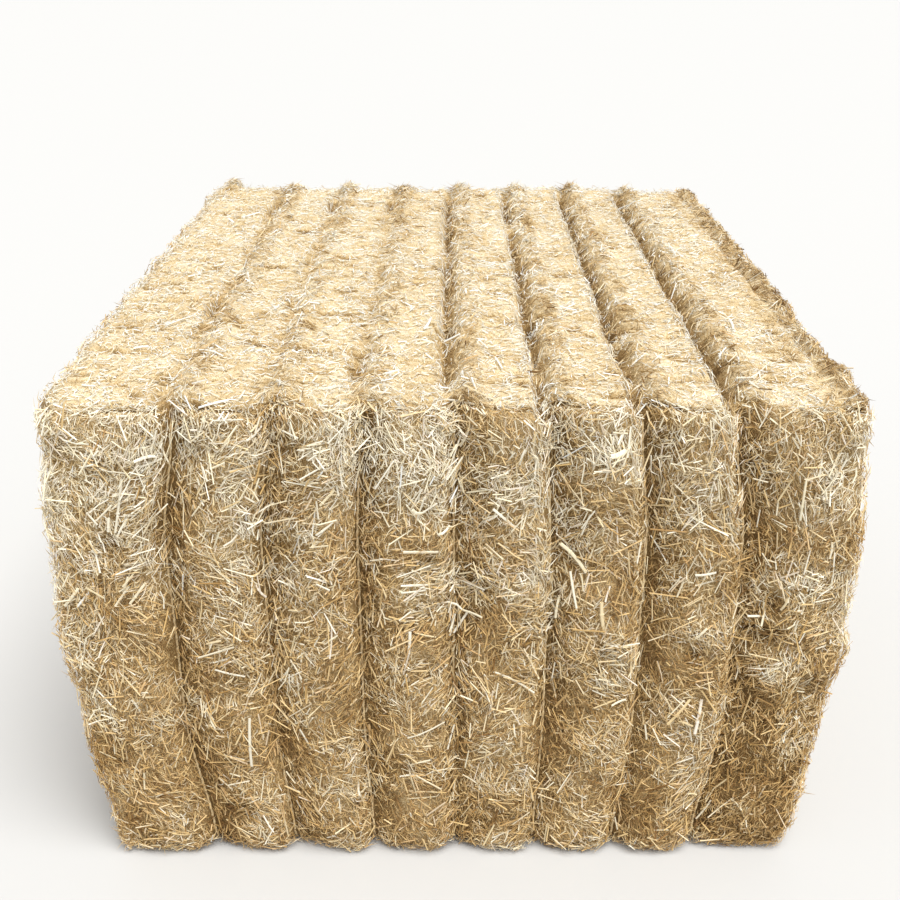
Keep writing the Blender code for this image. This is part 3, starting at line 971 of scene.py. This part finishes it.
def strand_triangles(kind, count, per):
    """Triangles of a number of like strands, each with per corner points."""
    corners = np.array(STRAND_TRIANGLES[kind])
    return (np.arange(count)[:, None, None] * per + corners[None]).reshape(-1, 3)


# The near end has so many strands that they make two pieces.
NEAR_PIECES = ("chaff", ("sliver", "stalk")), ("straws", ("fibre", "straw", "bent"))
OTHER_PIECES = (("straws", tuple(STRAND_TRIANGLES)),)


def build_strands(name, laid, number, kinds, material, rng):
    """One mesh of the strands of these kinds on one flake."""
    parts = []
    for batch in laid:
        mine = batch.chosen(batch.flake == number)
        count = len(mine.tint)
        if batch.kind not in kinds or not count:
            continue
        side, up = strand_frames(mine.ends, mine.normal, mine.roll)
        points = strand_points(mine.kind, mine.ends, side, up, mine.width, mine.thick)
        length = np.linalg.norm(mine.ends[2] - mine.ends[0], axis=1)
        uvs = strand_uvs(mine.kind, mine.tint, mine.row, length, rng).reshape(-1, 2)
        points[:, :, 2] += np.maximum(FLOOR_CLEAR - points[:, :, 2].min(axis=1), 0)[:, None]
        points[:, :, 2] -= np.maximum(points[:, :, 2].max(axis=1) - TOP_LIMIT, 0)[:, None]
        parts.append((points.reshape(-1, 3), strand_triangles(mine.kind, count, points.shape[1]), uvs))
    return joined(name, parts, material)


def node_adder(material):
    """A helper that adds a node to a material. Each input gets a value or the output that feeds it."""
    tree = material.node_tree

    def add(kind, inputs, **settings):
        node = tree.nodes.new(f"ShaderNode{kind}")
        for key, value in settings.items():
            setattr(node, key, value)
        feed(tree, node, inputs)
        return node

    return add


def feed(tree, node, inputs):
    for socket, value in inputs.items():
        if isinstance(value, bpy.types.NodeSocket):
            tree.links.new(value, node.inputs[socket])
        else:
            node.inputs[socket].default_value = value


def ramp(add, source, stops, interpolation="LINEAR"):
    """The colours of a ramp with these stops."""
    node = add("ValToRGB", {"Fac": source})
    elements = node.color_ramp.elements
    node.color_ramp.interpolation = interpolation
    while len(elements) > 1:
        elements.remove(elements[-1])
    elements[0].position = stops[0][0]
    elements[0].color = (*stops[0][1], 1)
    for place, colour in stops[1:]:
        elements.new(place).color = (*colour, 1)
    return node.outputs["Color"]


def scaled(add, source, by, plus):
    return add("Math", {0: source, 1: by, 2: plus}, operation="MULTIPLY_ADD").outputs[0]


# Straw from its darkest to its palest, and the hues that it comes in: bleached, plain, rusty and golden.
STRAW_TINTS = (
    (0.00, (0.160, 0.083, 0.024)),
    (0.15, (0.305, 0.186, 0.068)),
    (0.35, (0.510, 0.350, 0.158)),
    (0.55, (0.670, 0.522, 0.295)),
    (0.75, (0.718, 0.668, 0.545)),
    (0.90, (0.762, 0.756, 0.700)),
    (1.00, (0.880, 0.870, 0.820)),
)
STRAW_HUES = (
    (0.000, (0.97, 0.995, 1.03)),
    (0.250, (1.04, 0.99, 0.88)),
    (0.500, (1.03, 0.93, 0.84)),
    (0.750, (1.05, 0.97, 0.78)),
)
CHAFF_TINTS = (
    (0.22, (0.100, 0.054, 0.016)),
    (0.42, (0.240, 0.146, 0.052)),
    (0.56, (0.450, 0.315, 0.145)),
    (0.70, (0.660, 0.535, 0.325)),
    (0.84, (0.760, 0.690, 0.550)),
)
TWINE_TINTS = (
    (0.25, (0.330, 0.215, 0.095)),
    (0.50, (0.660, 0.500, 0.270)),
    (0.75, (0.840, 0.700, 0.460)),
)


def make_material(name, roughness, specular):
    """A new material, its helper for adding nodes, and a rule that feeds its shader."""
    material = bpy.data.materials.new(name)
    material.use_nodes = True
    shader = material.node_tree.nodes["Principled BSDF"]

    def give(**inputs):
        feed(material.node_tree, shader, {key.replace("_", " "): value for key, value in inputs.items()})

    give(Roughness=roughness, Specular_IOR_Level=specular)
    return material, node_adder(material), give


def streaks(add, across, along):
    """Noise stretched along the strands of the colour map, and the map's own directions."""
    place = add("UVMap", {}, uv_map=UV_MAP).outputs[0]
    apart = add("SeparateXYZ", {0: place}).outputs
    stretched = add("VectorMath", {0: place, 1: (across, along, 1.0)}, operation="MULTIPLY").outputs[0]
    streak = add("TexNoise", {"Scale": 1.0, "Detail": 3.0, "Vector": stretched}, noise_dimensions="2D")
    return apart, streak.outputs["Fac"]


def straw_material():
    """Straw whose colour follows its place in the map: tint across, hue row and fibre streaks up."""
    material, add, give = make_material("straw", 0.5, 0.35)
    apart, streak = streaks(add, 260.0, 42.0)
    total = add("Math", {0: apart["X"], 1: scaled(add, streak, 0.26, -0.13)}, operation="ADD").outputs[0]
    tints = ramp(add, total, STRAW_TINTS)
    hues = ramp(add, apart["Y"], STRAW_HUES, "CONSTANT")
    both = add("Mix", {}, data_type="RGBA", blend_type="MULTIPLY")
    feed(material.node_tree, both, {"Factor": 1.0, 6: tints, 7: hues})
    rough = add("MapRange", {"Value": streak, 3: 0.42, 4: 0.68}).outputs[0]
    give(Base_Color=both.outputs[2], Roughness=rough)
    return material


def matted_fibres(add, place, scale, length):
    """Short fibres that lie every way, patch by patch."""
    cells = add("TexVoronoi", {"Scale": scale, "Vector": place}).outputs["Color"]
    turn = add("VectorMath", {0: cells, "Scale": 2 * math.pi}, operation="SCALE").outputs[0]
    turned = add("VectorRotate", {"Vector": place, "Rotation": turn}, rotation_type="EULER_XYZ").outputs[0]
    squeeze = (80.0 * length, 640.0, 640.0)
    squeezed = add("VectorMath", {0: turned, 1: squeeze}, operation="MULTIPLY").outputs[0]
    return add("TexNoise", {"Scale": 1.0, "Detail": 2.0, "Vector": squeezed}).outputs["Fac"]


def chaff_material():
    """The matted surface under the loose straws, with painted shade: darker where it lies deeper in
    grooves, hollows and cracks.
    """
    material, add, give = make_material("chaff", 0.75, 0.2)
    place = add("TexCoord", {}).outputs["Object"]
    coarse, fine = matted_fibres(add, place, 45.0, 1.0), matted_fibres(add, place, 70.0, 1.3)
    lighter = add("Math", {0: coarse, 1: fine}, operation="MAXIMUM").outputs[0]
    patches = add("TexNoise", {"Scale": 14.0, "Detail": 3.0, "Vector": place}).outputs["Fac"]
    total = add("Math", {0: lighter, 1: scaled(add, patches, 0.35, -0.175)}, operation="ADD").outputs[0]
    # Painted shade: the deeper a point lies, the darker its chaff.
    deep = add("Attribute", {}, attribute_name=SHADE_DEPTH).outputs["Fac"]
    colours = ramp(add, scaled(add, deep, -0.30, total), CHAFF_TINTS)
    bump = add("Bump", {"Strength": 0.8, "Distance": 0.002, "Height": lighter}).outputs[0]
    give(Base_Color=colours, Normal=bump)
    return material


def twine_material():
    """Twisted natural fibre, darker between its strands."""
    material, add, give = make_material("twine", 0.6, 0.3)
    hairs = streaks(add, 400.0, 60.0)[1]
    give(Base_Color=ramp(add, hairs, TWINE_TINTS))
    return material


# How many steps of the bodies' mesh go across the bale and up it.
ACROSS = round(WIDTH / BODY_STEP)
UPWARD = round(HEIGHT / BODY_STEP)


def crowded():
    """X stations from side to side, closer together beside each twine."""
    x = np.linspace(-WIDTH / 2, WIDTH / 2, ACROSS + 1)
    off = from_twine(x)
    near = np.abs(off) < TWINE_PITCH / 2
    return np.where(near, x - 0.35 * off * (1 - 2 * np.abs(off) / TWINE_PITCH), x)


def outline_points():
    """Points of the plain box's cross-section, round from the bottom of the -X side, as (x, z)."""
    xs, zs = crowded(), np.linspace(0, HEIGHT, UPWARD + 1)
    bottom = [(x, 0.0) for x in xs]
    right = [(WIDTH / 2, z) for z in zs[1:]]
    top = [(x, HEIGHT) for x in xs[::-1][1:]]
    left = [(-WIDTH / 2, z) for z in zs[::-1][1:-1]]
    return np.array(bottom + right + top + left)


def sunk(box):
    """Points of a body a little below the bale's surface, and the painted shade that each gets from how
    deep in a groove, hollow or crack it lies.
    """
    moved, out = surface(box)
    moved -= out * BODY_SINK * (1 - downward(out))[:, None]
    moved[:, 2] = np.maximum(moved[:, 2], 0)
    on_top, on_end = upward(out), endward(out)
    lobe = read_curve(LOBE_CURVE, box[:, 0], wander(box))
    groove = read_curve(GROOVE_CURVE, box[:, 0])
    # Painted shade for the chaff: darker in the ends' valleys and hollows, in open grooves on top, in
    # cracks, under the lip and in the top's nicks; the rest of the top's chaff is paler.
    deep = on_end * (0.6 * lobe + 40 * hollow(box))
    deep = deep + (1 - on_end) * on_top * (1.1 * groove * open_share(box) - 0.4)
    deep += (crack(box, out) + lip(box, out)) * 80 + on_top * nicks(box)
    return moved, np.clip(deep, -0.4, 1.2)


def fan(rim):
    """Closes a flake's flat inner side: strips across from the bottom's points to the top's."""
    bottom = list(range(0, ACROSS + 1))
    right = list(range(ACROSS, ACROSS + UPWARD + 1))
    top = list(range(ACROSS + UPWARD, 2 * ACROSS + UPWARD + 1))[::-1]
    left = [0] + list(range(2 * ACROSS + 2 * UPWARD - 1, 2 * ACROSS + UPWARD - 1, -1))
    faces = []
    for k in range(ACROSS):
        faces.append((bottom[k], bottom[k + 1], top[k + 1]))
        faces.append((bottom[k], top[k + 1], top[k]))
    for chain, turn in ((right, 1), (left, -1)):
        for k in range(1, len(chain) - 1):
            corner = (chain[0], chain[k], chain[k + 1])
            faces.append(corner if turn > 0 else corner[::-1])
    return rim[np.array(faces)]


def end_face(facing, rim, start):
    """The lobed face at one end, a grid whose rim is the last ring. Returns new points and triangles."""
    zs = np.linspace(0, HEIGHT, UPWARD + 1)
    index = np.zeros((ACROSS + 1, UPWARD + 1), int)
    index[:, 0] = rim[: ACROSS + 1]
    index[ACROSS, :] = rim[ACROSS: ACROSS + UPWARD + 1]
    index[:, UPWARD] = rim[ACROSS + UPWARD: 2 * ACROSS + UPWARD + 1][::-1]
    index[0, 1:UPWARD] = rim[2 * ACROSS + UPWARD + 1: 2 * ACROSS + 2 * UPWARD][::-1]
    x, z = np.meshgrid(crowded()[1:-1], zs[1:-1], indexing="ij")
    box = np.stack([x.ravel(), np.full(x.size, facing * LENGTH / 2), z.ravel()], axis=1)
    moved, deep = sunk(box)
    index[1:-1, 1:-1] = start + np.arange(len(box)).reshape(ACROSS - 1, UPWARD - 1)
    a, b = index[:-1, :-1].ravel(), index[1:, :-1].ravel()
    c, d = index[1:, 1:].ravel(), index[:-1, 1:].ravel()
    return moved, deep, np.concatenate([np.stack([a, b, c], axis=1), np.stack([a, c, d], axis=1)])


def make_body(number, material):
    """The matted body of one flake, a closed mesh that its loose straws lie on."""
    outline = outline_points()
    rings = max(round(FLAKE_THICKNESS[number] / BODY_STEP), 4)
    x, z = outline[:, 0], outline[:, 1]
    near = boundary(number, x, z) + FLAKE_GAP
    far = boundary(number + 1, x, z) - FLAKE_GAP
    shares = np.arange(rings + 1) / rings
    shares = shares - RING_CROWDING * np.sin(2 * math.pi * shares) / (2 * math.pi)
    stations = [sunk(np.stack([x, near + (far - near) * share, z], axis=1)) for share in shares]
    verts = np.concatenate([moved for moved, _ in stations])
    deep = np.concatenate([depth for _, depth in stations])
    i = np.arange(len(outline))
    j = (i + 1) % len(outline)
    triangles = []
    for ring in range(rings):
        a, b = ring * len(outline), (ring + 1) * len(outline)
        triangles += [np.stack([a + i, a + j, b + j], axis=1), np.stack([a + i, b + j, b + i], axis=1)]
    for ring, outer, facing in ((0, number == 0, -1), (rings, number == FLAKES - 1, 1)):
        rim = ring * len(outline) + i
        if outer:
            extra, depth, faces = end_face(facing, rim, len(verts))
            verts, deep = np.concatenate([verts, extra]), np.concatenate([deep, depth])
        else:
            faces = fan(rim)
        triangles.append(faces[:, ::-1] if facing < 0 else faces)
    name = f"flake_{number + 1:02d}_body"
    return mesh_object(name, verts, np.concatenate(triangles), None, material, flat=False, deep=deep)


# The twines' mesh: the spacing and turn of its rings, its corners' reach, and the hairs that stand off it.
TWINE_SPACING = 0.0078
TWINE_TURN = math.radians(52)
TWINE_CORNERS = 6
TWINE_HAIRS = 120
TWINE_ROWS = 30
TWINE_CREST = 1.12
TWINE_VALLEY = 0.76
BEND_STEPS = 12
TAIL_POINTS = 7
HAIR_REACH = 0.0014
HAIR_TIP = 0.0012
HAIR_CURL = 0.0035
HAIR_WIDTH = 0.0007


def twine_path(x):
    """Evenly spaced points round one twine's loop, with its radius at each: up the near end first."""
    off = TWINE_RADIUS + TWINE_GAP
    low = BOTTOM_GROOVE + END_RADIUS
    high = HEIGHT - TOP_GROOVE - END_RADIUS
    bend = END_RADIUS + off
    rows = np.linspace(low, high, TWINE_ROWS)
    rough = []
    for facing, z, first in ((-1, low, 270), (-1, high, 180), (1, high, 90), (1, low, 0)):
        centre = facing * (LENGTH / 2 - end_depth(z) - END_RADIUS)
        if first == 90:
            top = high + bend
            rough += [(KNOT_Y + along, top + rise * KNOT_RISE, thick) for along, rise, thick in KNOT_SHAPE]
        for step in range(BEND_STEPS + 1):
            angle = math.radians(first - 90 * step / BEND_STEPS)
            rough.append((centre + bend * math.cos(angle), z + bend * math.sin(angle), 1.0))
        if first in (270, 90):
            run = rows[1:-1] if first == 270 else rows[-2:0:-1]
            rough += [(facing * (LENGTH / 2 - end_depth(row) + off), row, 1.0) for row in run]
    rough = np.array(rough + rough[:1])
    travelled = np.concatenate([[0.0], np.cumsum(np.linalg.norm(np.diff(rough[:, :2], axis=0), axis=1))])
    count = round(travelled[-1] / TWINE_SPACING)
    places = np.arange(count) * travelled[-1] / count
    y, z, thick = (np.interp(places, travelled, column) for column in rough.T)
    return np.stack([x * (1 + spread(z)), y, z], axis=1), thick * TWINE_RADIUS


def tail_path(x, facing):
    """One cut end of a twine, from inside its knot outwards and up."""
    share = np.linspace(0, 1, TAIL_POINTS)
    z = HEIGHT - TOP_GROOVE + TWINE_RADIUS + TWINE_GAP + KNOT_RISE + TAIL_RISE * np.sin(share * math.pi / 2)
    path = np.stack([x + TAIL_SWING * share, KNOT_Y + facing * TAIL_LENGTH * share, z], axis=1)
    return path, np.full(len(path), TAIL_RADIUS)


def twisted_tube(path, radii, closed):
    """Points, triangles and map places of a tube of three twisted strands."""
    count, n = len(path), TWINE_CORNERS
    if closed:
        along = unit(np.roll(path, -1, axis=0) - np.roll(path, 1, axis=0))
        turns = round(count * TWINE_TURN / (2 * math.pi / 3))
        turn = turns * (2 * math.pi / 3) / count
    else:
        along = unit(np.gradient(path, axis=0))
        turn = TWINE_TURN
    side = unit(np.tile(np.array([1.0, 0.0, 0.0]), (count, 1)) - along * along[:, :1])
    up = np.cross(along, side)
    corner = np.arange(n)
    angle = corner[None] * 2 * math.pi / n + np.arange(count)[:, None] * turn
    radius = radii[:, None] * np.where(corner % 2 == 0, TWINE_CREST, TWINE_VALLEY)[None]
    ring = (np.cos(angle) * radius)[:, :, None] * side[:, None]
    ring = ring + (np.sin(angle) * radius)[:, :, None] * up[:, None]
    verts = (path[:, None] + ring).reshape(-1, 3)
    steps = count if closed else count - 1
    shift = round(turn * count / (2 * math.pi / n)) if closed else 0
    i = np.arange(steps)[:, None]
    j = (i + 1) % count
    k, m = corner[None], (corner[None] + 1) % n
    wrap = np.where(j == 0, shift, 0)
    here_k, here_m = i * n + k, i * n + m
    next_k, next_m = j * n + (k + wrap) % n, j * n + (m + wrap) % n
    triangles = np.concatenate([
        np.stack([here_k, here_m, next_m], axis=2).reshape(-1, 3),
        np.stack([here_k, next_m, next_k], axis=2).reshape(-1, 3),
    ])
    du, dv = 0.9 / n, 0.94 / steps
    u = k * du + 0.02 + np.zeros((steps, 1))
    v = i * dv + 0.02 + np.zeros((1, n))
    here, beside = np.stack([u, v], 2), np.stack([u + du, v], 2)
    above, across = np.stack([u, v + dv], 2), np.stack([u + du, v + dv], 2)
    halves = (here, beside, across), (here, across, above)
    uvs = np.concatenate([np.stack(half, axis=2).reshape(-1, 2) for half in halves])
    if not closed:
        last = (count - 1) * n
        caps = [(0, q + 1, q) for q in range(1, n - 1)]
        caps += [(last, last + q, last + q + 1) for q in range(1, n - 1)]
        triangles = np.concatenate([triangles, np.array(caps)])
        uvs = np.concatenate([uvs, np.tile(((0.10, 0.10), (0.14, 0.10), (0.12, 0.14)), (len(caps), 1))])
    return verts, triangles, uvs


def twine_hairs(path, rng):
    """Fine fibres that stand off a twine."""
    root = path[rng.integers(0, len(path), TWINE_HAIRS)]
    out = rng.normal(0, 1, (TWINE_HAIRS, 3))
    middle = root + out * HAIR_REACH
    tip = middle + out * HAIR_TIP + rng.normal(0, HAIR_CURL, (TWINE_HAIRS, 3))
    ends = [root, middle, tip]
    side, up = strand_frames(ends, unit(out), np.zeros(TWINE_HAIRS))
    width = np.full(TWINE_HAIRS, HAIR_WIDTH)
    points = strand_points("fibre", ends, side, up, width, width)
    points[:, :, 2] = np.maximum(points[:, :, 2], FLOOR_CLEAR)
    triangles = strand_triangles("fibre", TWINE_HAIRS, points.shape[1])
    start = rng.uniform(0.05, 0.9, (TWINE_HAIRS, 1, 1, 2))
    corner = np.array(((0.0, 0.0), (0.02, 0.0), (0.01, 0.02)))
    uvs = (start + corner + np.zeros((1, len(STRAND_TRIANGLES["fibre"]), 1, 1))).reshape(-1, 2)
    return points.reshape(-1, 3), triangles, uvs


def make_twine(number, material, rng):
    """One twine: a twisted loop with its knot, two tails and stray hairs."""
    x = TWINE_X[number]
    path, radii = twine_path(x)
    parts = [twisted_tube(path, radii, True)]
    parts += [twisted_tube(*tail_path(x, facing), False) for facing in (-1, 1)]
    parts.append(twine_hairs(path, rng))
    return joined(f"twine_{number + 1}_twist", parts, material)


def add_camera():
    data = bpy.data.cameras.new("camera")
    data.lens = CAMERA_LENS
    data.sensor_width = CAMERA_SENSOR
    data.clip_end = CAMERA_REACH
    camera = bpy.data.objects.new("camera", data)
    camera.location = CAMERA_PLACE
    camera.rotation_euler = (math.radians(90 - CAMERA_PITCH), 0, 0)
    bpy.context.scene.collection.objects.link(camera)
    bpy.context.scene.camera = camera


def add_sun():
    """A very broad, soft light from above and a little in front."""
    data = bpy.data.lights.new("overhead", "SUN")
    data.energy = SUN_STRENGTH
    data.angle = math.radians(SUN_SPREAD)
    data.color = SUN_COLOUR
    light = bpy.data.objects.new("overhead", data)
    light.location = SUN_PLACE
    light.rotation_euler = Vector(SUN_PLACE).to_track_quat("Z", "Y").to_euler()
    bpy.context.scene.collection.objects.link(light)


def add_studio():
    """A pale floor, an even pale sky and one broad soft light from above."""
    world = bpy.data.worlds.new("studio")
    world.use_nodes = True
    background = world.node_tree.nodes["Background"]
    background.inputs["Color"].default_value = (1.0, 1.0, 1.0, 1.0)
    background.inputs["Strength"].default_value = SKY_STRENGTH
    bpy.context.scene.world = world
    add_sun()
    material, _, give = make_material("floor", 0.9, 0.2)
    give(Base_Color=FLOOR_COLOUR)
    corners = np.array([(-1, -1, 0), (1, -1, 0), (1, 1, 0), (-1, 1, 0)]) * FLOOR_HALF
    triangles = np.array([(0, 1, 2), (0, 2, 3)])
    floor = mesh_object("floor", corners - np.array([0, 0, FLOOR_DROP]), triangles, None, material)
    bpy.context.scene.view_settings.view_transform = "Standard"


def attach(piece, node=None):
    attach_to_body(piece, "root")
    if node:
        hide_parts(node)


def main():
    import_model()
    add_camera()
    add_studio()
    rng = np.random.default_rng(SEED)
    straw, chaff, twine = straw_material(), chaff_material(), twine_material()
    laid = lay_straws(rng)
    for number in range(FLAKES):
        node = f"flake_{number + 1:02d}"
        attach(make_body(number, chaff), node)
        for ending, kinds in NEAR_PIECES if number == 0 else OTHER_PIECES:
            attach(build_strands(f"{node}_{ending}", laid, number, kinds, straw, rng))
    for number in range(TWINES):
        attach(make_twine(number, twine, rng), f"twine_{number + 1}")


main()
